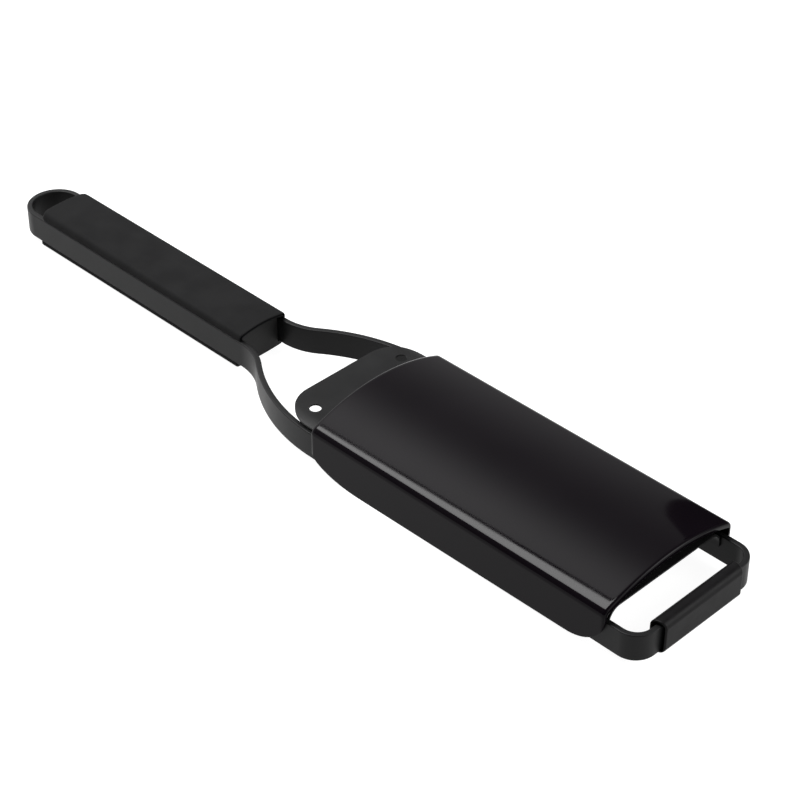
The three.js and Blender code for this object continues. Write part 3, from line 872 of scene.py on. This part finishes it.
nose_start = core_high.x - NOSE_LENGTH
for pad in (top_pad, bottom_pad):
    carve(pad, prism("pocket", nose_section(0), nose_start, top_pad_high.x + PAST, "X"), "DIFFERENCE")
slot_start, slot_end = top_pad_high.x - LIP_SLOT_DEPTH, top_pad_high.x + PAST
slot = prism("lip_slot", under_skin(LIP_SKIN), slot_start, slot_end, "X")
tongue = prism("lip_tongue", under_skin(LIP_SKIN + LIP_SLOT), slot_start - PAST, slot_end + PAST, "X")
carve(slot, tongue, "DIFFERENCE")
carve(top_pad, slot, "DIFFERENCE")
for piece, node in ((top_pad, "grip_top_pad"), (bottom_pad, "grip_bottom_pad")):
    piece.data.materials.clear()
    piece.data.materials.append(soft_pad)
    soften(piece, angle_degrees=50)
    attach(piece, "grater")
    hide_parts(node)
    print(piece.name, len(piece.data.polygons), "faces")

# %% [markdown]
# ## The handle's core
# A plain moulding fills the handle between the rails. Its edges are the only thing to see, so it
# is a loft whose first and last rings step in to round them, joined to its nose at the neck.

# %% Core
CORE_EDGE = 0.0003
CORE_EDGE_STEPS = 3
CORE_CORNER_STEPS = 4


def core_ring(inset, level):
    """The core's outline at one height, drawn in on all sides but the front, where the nose joins."""
    outline = rounded_box(
        core_low.x + inset, core_high.x - NOSE_LENGTH / 2, core_low.y + inset, core_high.y - inset,
        2 * CORE_EDGE - inset, CORE_CORNER_STEPS,
    )
    return [(x, y, level) for x, y in outline]


core_steps = []
for i in range(CORE_EDGE_STEPS + 1):
    angle = QUARTER * i / CORE_EDGE_STEPS
    core_steps.append((CORE_EDGE * (1 - math.sin(angle)), CORE_EDGE * (1 - math.cos(angle))))
core_rings = [core_ring(inset, core_low.z + depth) for inset, depth in core_steps]
core_rings += [core_ring(inset, core_high.z - depth) for inset, depth in reversed(core_steps)]
core = add_piece("grip_core_moulding", loft("grip_core_moulding", core_rings))
nose = prism("nose", nose_section(NOSE_GAP), nose_start + SEAT, core_high.x, "X")
round_edges(nose, CORE_EDGE / 2, segments=2, angle_degrees=60)
carve(core, nose, "UNION")
core.data.materials.clear()
core.data.materials.append(hard_plastic)
soften(core)
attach(core, "grater")
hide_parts("grip_core")
print("core:", len(core.data.polygons), "faces")

# %% [markdown]
# ## The front foot
# A rubber sleeve wraps the front bar so that the grater holds still on a worktop. It is a tube with
# a rounded section, made as one loft that runs outside, turns in at the end and comes back inside. The
# outer rings step in at both ends, each end is hollow a little way, and the inner rings are the bar's
# own section with a hair of clearance.

# %% Foot
FOOT_ROUNDING = 0.0024
FOOT_END_DEPTH = 0.0004
FOOT_END_INSET = 0.0003
FOOT_SOLE_SHARE = 0.2
FOOT_LIP = 0.0006
FOOT_RECESS = 0.0050
FOOT_SKEW = 0.0013
FOOT_CORNER_STEPS = 8
FOOT_END_STEPS = 6


def slanted(outline, y):
    """Points of a ring; the sleeve's ends are cut a little shorter in front than behind."""
    share = FOOT_SKEW / (foot_high.x - foot_low.x)
    return [(x, y - math.copysign(share * (x - foot_low.x), y), z) for x, z in outline]


def foot_ring(y, inset):
    """The outside; its sole stays almost level where the other sides step in."""
    sole = foot_low.z + FOOT_SOLE_SHARE * inset
    outline = rounded_box(
        foot_low.x + inset, foot_high.x - inset, sole, foot_high.z - inset,
        FOOT_ROUNDING - inset, FOOT_CORNER_STEPS,
    )
    return slanted(outline, y)


def recess_ring(y):
    """The end's hollow: as wide as the lip lets it, and down to the bar's lower edge."""
    outline = rounded_box(
        foot_low.x + FOOT_LIP, foot_high.x - FOOT_LIP, bar_low.z - SEAT, foot_high.z - FOOT_LIP,
        FOOT_ROUNDING - FOOT_LIP, FOOT_CORNER_STEPS,
    )
    return slanted(outline, y)


def bore_ring(y):
    """The bar's own section with a hair of clearance."""
    outline = rounded_box(
        bar_high.x - BAR_THICKNESS - SEAT, bar_high.x + SEAT, bar_low.z - SEAT, bar_high.z + SEAT,
        EDGE_ROUNDING, FOOT_CORNER_STEPS,
    )
    return [(x, y, z) for x, z in outline]


turn = [QUARTER * i / FOOT_END_STEPS for i in range(FOOT_END_STEPS + 1)]
ends = [(FOOT_END_DEPTH * (1 - math.cos(a)), FOOT_END_INSET * (1 - math.sin(a))) for a in turn]
foot_rings = [foot_ring(foot_low.y + depth, inset) for depth, inset in ends]
foot_rings += [foot_ring(foot_high.y - depth, inset) for depth, inset in reversed(ends)]
foot_rings += [recess_ring(foot_high.y), recess_ring(foot_high.y - FOOT_RECESS)]
foot_rings += [bore_ring(foot_high.y - FOOT_RECESS), bore_ring(foot_low.y + FOOT_RECESS)]
foot_rings += [recess_ring(foot_low.y + FOOT_RECESS), recess_ring(foot_low.y)]
foot = add_piece("front_foot_sleeve", loft("front_foot_sleeve", foot_rings, caps=False))
foot.data.materials.append(foot_rubber)
soften(foot, angle_degrees=50)
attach(foot, "grater")
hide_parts("front_foot")
print("foot:", len(foot.data.polygons), "faces")

# %% [markdown]
# ## The guard
# The guard is one moulded shell: a shallow arch that rises a little towards the front, round
# shoulders, and side walls with swept lower corners. Two views say it all, as on a drawing. The first
# is the lower edge seen from the side: a quarter of an ellipse at each end and a slope between them.

# %% The guard's side view
FRONT_BOW = 0.0005
FRONT_SKIRT = 0.0014
REAR_SWEEP = (0.022, 0.0075)
FRONT_SWEEP = (0.015, 0.0125)
SWEEP_STEPS = 16
RUN_STEPS = 14

cover_rear = cover_low.x
cover_front = cover_high.x - FRONT_BOW


def guard_stations():
    """Places along the guard, close together where its lower corners turn: (x, lower edge)."""
    rear_run, rear_rise = REAR_SWEEP
    front_run, front_rise = FRONT_SWEEP
    rear_x, front_x = cover_rear + rear_run, cover_front - front_run
    front_low = cover_low.z + FRONT_SKIRT
    turn = [QUARTER * i / SWEEP_STEPS for i in range(SWEEP_STEPS + 1)]
    rear = [(rear_x - rear_run * math.cos(a), cover_low.z + rear_rise * (1 - math.sin(a))) for a in turn]
    run = [i / RUN_STEPS for i in range(1, RUN_STEPS)]
    middle = [(rear_x + (front_x - rear_x) * share, cover_low.z + FRONT_SKIRT * share) for share in run]
    front = [(front_x + front_run * math.sin(a), front_low + front_rise * (1 - math.cos(a))) for a in turn]
    return rear + middle + front


print("guard:", len(guard_stations()), "stations")

# %% [markdown]
# The second view is the section: wall, shoulder and arch, each a line or an arc that runs smoothly into
# the next. The inner skin is drawn by the same function, set in by the thickness of wall and top.

# %% The guard's section
COVER_WALL = 0.0012
COVER_TOP_WALL = 0.0017
ARCH_RISE = 0.0064
SHOULDER_RADIUS = 0.003
FRONT_LIFT = 0.0009
ARCH_STEPS = 64
SHOULDER_ARC_STEPS = 14
WALL_STEPS = 5

cover_half = cover_high.y
arch_top = cover_high.z - FRONT_LIFT
arch_radius = (cover_half ** 2 + ARCH_RISE ** 2) / (2 * ARCH_RISE)
arch_centre = arch_top - arch_radius


def lift(x):
    """How much higher the arch stands at a place than at the rear end."""
    return FRONT_LIFT * (x - cover_rear) / (cover_front - cover_rear)


def guard_section(x, lower, wall_inset, top_inset):
    """One skin's points at a station, from the right wall's lower edge over to the left one's."""
    radius = arch_radius - top_inset
    half = cover_half - wall_inset
    shoulder = SHOULDER_RADIUS - top_inset
    shoulder_y = half - shoulder
    shoulder_z = arch_centre + math.sqrt((radius - shoulder) ** 2 - shoulder_y ** 2)
    lean = math.atan2(shoulder_z - arch_centre, shoulder_y)
    rise = lift(x)
    wall_top = shoulder_z + rise
    wall = [(half, lower + (wall_top - lower) * i / WALL_STEPS) for i in range(WALL_STEPS)]
    turn = arc(shoulder_y, wall_top, shoulder, 0, lean, SHOULDER_ARC_STEPS)[:-1]
    crown = arc(0, arch_centre + rise, radius, lean, QUARTER, ARCH_STEPS // 2)
    left = wall + turn + crown
    return [(-y, z) for y, z in left] + [(y, z) for y, z in reversed(left[:-1])]


def bowed(x, y):
    """The front edge bows forward in the middle, and the rest follows in step."""
    share = (x - cover_rear) / (cover_front - cover_rear)
    return x + FRONT_BOW * share * (1 - (y / cover_half) ** 2)


print("guard: arch radius", round(arch_radius, 4))

# %% [markdown]
# Its gloss shows every facet, so the shell is an even grid of points, once for the outer skin and
# once for the inner one, and the two grids are joined along their borders. A subdivided cage would
# round the corners by itself, but it would also drift off the sizes. The outer skin draws in towards
# both ends, which rounds them; a bevel takes the sharpness off the rim's other edges.

# %% The guard's shell
RIM_ROUNDING = 0.00014
END_ROUNDING = 0.0009


def guard_shell():
    """The two skins, their ends and their lower edges as one closed mesh."""
    shape = bmesh.new()
    skins = []
    for wall_inset, top_inset, rounding in ((0, 0, END_ROUNDING), (COVER_WALL, COVER_TOP_WALL, SEAT)):
        skin = []
        for x, lower in guard_stations():
            rounded = drawn_in(min(x - cover_rear, cover_front - x), rounding)
            points = guard_section(x, lower, wall_inset + rounded, top_inset + rounded)
            skin.append([shape.verts.new((bowed(x, y), y, z)) for y, z in points])
        skins.append(skin)
    outside, inside = skins
    last, end = len(outside) - 1, len(outside[0]) - 1
    for i in range(last):
        for j in range(end):
            for grid in skins:
                shape.faces.new((grid[i][j], grid[i + 1][j], grid[i + 1][j + 1], grid[i][j + 1]))
    for j in range(end):
        for i in (0, last):
            shape.faces.new((outside[i][j], outside[i][j + 1], inside[i][j + 1], inside[i][j]))
    for i in range(last):
        for j in (0, end):
            shape.faces.new((outside[i][j], outside[i + 1][j], inside[i + 1][j], inside[i][j]))
    bmesh.ops.recalc_face_normals(shape, faces=shape.faces)
    mesh = bpy.data.meshes.new("guard_shell")
    shape.to_mesh(mesh)
    shape.free()
    return mesh


guard = add_piece("blade_guard", guard_shell())
guard.data.materials.append(gloss_plastic)
round_edges(guard, RIM_ROUNDING, segments=4, angle_degrees=50)
print("shell:", len(guard.data.polygons), "faces")

# %% [markdown]
# Inside, ribs lie on top of the rails and small lugs snap under them. They are short bevelled bars
# that start in the wall, and a boolean joins them to the shell.

# %% The guard's ribs and lugs
GUIDE_CLEARANCE = 0.0003
GUIDE_THICKNESS = 0.001
RIB_END_INSET = 0.016
RIB_REACH = 0.0012
LUG_LENGTH = 0.012
LUG_INSET = 0.026
GUIDE_ROUNDING = 0.0002


def guide(x0, x1, y0, y1, low):
    """One bar with rounded edges, from its plan and its lower face."""
    piece = prism("guide", [(x0, y0), (x1, y0), (x1, y1), (x0, y1)], low, low + GUIDE_THICKNESS, "Z")
    piece.data.materials.append(gloss_plastic)
    round_edges(piece, GUIDE_ROUNDING, segments=2)
    return piece


guides = []
wall_middle = cover_half - COVER_WALL / 2
for side in (-1, 1):
    guides.append(guide(
        cover_rear + RIB_END_INSET, cover_front - RIB_END_INSET,
        side * (bar_high.y - RIB_REACH), side * wall_middle, bar_high.z + GUIDE_CLEARANCE,
    ))
    for x in (cover_rear + LUG_INSET, cover_front - LUG_INSET - LUG_LENGTH):
        guides.append(guide(
            x, x + LUG_LENGTH, side * (bar_high.y - BAR_THICKNESS), side * wall_middle,
            bar_low.z - GUIDE_CLEARANCE - GUIDE_THICKNESS,
        ))

for piece in guides:
    carve(guard, piece, "UNION")
soften(guard, angle_degrees=50)
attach(guard, "cover")
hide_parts("blade_cover")
print("guard:", len(guard.data.polygons), "faces")

# %% [markdown]
# ## Floor, light and room
# The grater lies on a light table: pale, and glowing itself, so that shadows stay faint and the bar's
# sides catch light from below. A plain white floor under strong lamps would do the same, but the black
# pieces would then mirror the lamps.

# %% Floor
FLOOR_SIZE = 6.0
FLOOR_COLOUR = 0.2
FLOOR_GLOW = 0.94
STAGE_ROUGHNESS = 0.9
STAGE_SPECULAR = 0.1
CORNERS = [(-1, -1), (1, -1), (1, 1), (-1, 1)]


def matt_stage(name, grey, glow=0.0):
    """A plain matt material for what stands around the grater, with a white glow if it has one."""
    material = bpy.data.materials.new(name)
    material.use_nodes = True
    inputs = material.node_tree.nodes["Principled BSDF"].inputs
    inputs["Base Color"].default_value = (grey, grey, grey, 1)
    inputs["Roughness"].default_value = STAGE_ROUGHNESS
    inputs["Specular IOR Level"].default_value = STAGE_SPECULAR
    inputs["Emission Color"].default_value = (1, 1, 1, 1)
    inputs["Emission Strength"].default_value = glow
    return material


floor_mesh = bpy.data.meshes.new("floor")
floor_corners = [(a * FLOOR_SIZE / 2, b * FLOOR_SIZE / 2, 0) for a, b in CORNERS]
floor_mesh.from_pydata(floor_corners, [], [(0, 1, 2, 3)])
floor = add_piece("floor", floor_mesh)
floor.data.materials.append(matt_stage("light_table", FLOOR_COLOUR, FLOOR_GLOW))
print("floor:", FLOOR_SIZE, "wide, glow", FLOOR_GLOW)

# %% [markdown]
# A black glossy thing is lit by what it reflects. One large softbox over the handle's near side
# makes the bright band along the guard's shoulder; its size and its turn set the band's width and run.

# %% Softbox
SOFTBOX_RADIANCE = 25.0
SOFTBOX_SIZE = (0.70, 0.42)
SOFTBOX_PLACE = (-0.43, -0.24, 1.0)
SOFTBOX_TURN = math.radians(8)

softbox_data = bpy.data.lights.new("softbox", "AREA")
softbox_data.shape = "RECTANGLE"
softbox_data.size, softbox_data.size_y = SOFTBOX_SIZE
softbox_data.energy = SOFTBOX_RADIANCE * math.pi * SOFTBOX_SIZE[0] * SOFTBOX_SIZE[1]
softbox = bpy.data.objects.new("softbox", softbox_data)
softbox.location = SOFTBOX_PLACE
softbox.rotation_euler = (0, 0, SOFTBOX_TURN)
bpy.context.scene.collection.objects.link(softbox)
print("softbox power", round(softbox_data.energy, 1))

# %% [markdown]
# A softbox has a black edge around its cloth, which draws the thin dark line beside the bright band.
# A black card stands far behind on the right; the guard's front corner mirrors it as a dark patch.

# %% Black edge and black card
SOFTBOX_EDGE = 0.03
CARD_COLOUR = 0.01
CARD_DISTANCE = 0.45
CARD_OUTLINE = [(-0.082, 0), (0.06, 0), (0.06, 0.34), (-0.124, 0.34), (-0.118, 0.23)]

half_long, half_wide = SOFTBOX_SIZE[0] / 2, SOFTBOX_SIZE[1] / 2
inner_ring = [(a * half_long, b * half_wide, 0) for a, b in CORNERS]
outer_ring = [(a * (half_long + SOFTBOX_EDGE), b * (half_wide + SOFTBOX_EDGE), 0) for a, b in CORNERS]
edge_mesh = bpy.data.meshes.new("softbox_edge")
edge_faces = [(i, (i + 1) % 4, 4 + (i + 1) % 4, 4 + i) for i in range(4)]
edge_mesh.from_pydata(inner_ring + outer_ring, [], edge_faces)
softbox_edge = add_piece("softbox_edge", edge_mesh)
softbox_edge.location = SOFTBOX_PLACE
softbox_edge.rotation_euler = (0, 0, SOFTBOX_TURN)

card_mesh = bpy.data.meshes.new("black_card")
card_points = [(x, CARD_DISTANCE, z) for x, z in CARD_OUTLINE]
card_mesh.from_pydata(card_points, [], [tuple(range(len(card_points)))])
card = add_piece("black_card", card_mesh)
matt_black = matt_stage("black_card", CARD_COLOUR)
for piece in (softbox_edge, card):
    piece.data.materials.append(matt_black)
print("black card:", CARD_DISTANCE, "behind the grater")

# %% [markdown]
# The room is a dark dome with a few soft glows in it, each brightest in one direction and fading
# with the angle. The one beside the softbox shades the guard's arch, and low ones around the far side
# draw the bar's edges. None stands behind the camera, so faces turned towards it stay dark.

# %% Room
ROOM_LIGHT = 0.05
GLOWS = [
    # direction, strength, tightness
    ((-0.526, 0.065, 0.848), 5.6, 22.8),
    ((-0.55, 0.55, 0.63), 0.25, 5.0),
    ((0.62, 0.56, 0.55), 9.0, 25.0),
    ((0.90, 0.34, 0.20), 3.2, 9.0),
    ((-0.78, 0.57, 0.26), 0.7, 9.0),
    ((-0.97, -0.15, 0.20), 3.6, 9.0),
]

world = bpy.data.worlds.new("studio_room")
world.use_nodes = True
room = world.node_tree
toward = room.nodes.new("ShaderNodeTexCoord").outputs["Generated"]
total = ROOM_LIGHT
for direction, strength, tightness in GLOWS:
    centre = Vector(direction).normalized()
    facing = add_node(
        room, "ShaderNodeVectorMath", {"operation": "DOT_PRODUCT"}, in0=toward, in1=centre,
    ).outputs["Value"]
    fall = math_node(room, "MULTIPLY", math_node(room, "SUBTRACT", facing, 1.0), tightness)
    glow = math_node(room, "MULTIPLY", math_node(room, "EXPONENT", fall), strength)
    total = math_node(room, "ADD", glow, total)
room.links.new(total, room.nodes["Background"].inputs["Strength"])
room.nodes["Background"].inputs["Color"].default_value = (1, 1, 1, 1)
bpy.context.scene.world = world
bpy.context.scene.view_settings.view_transform = "Standard"
print("glows:", len(GLOWS))
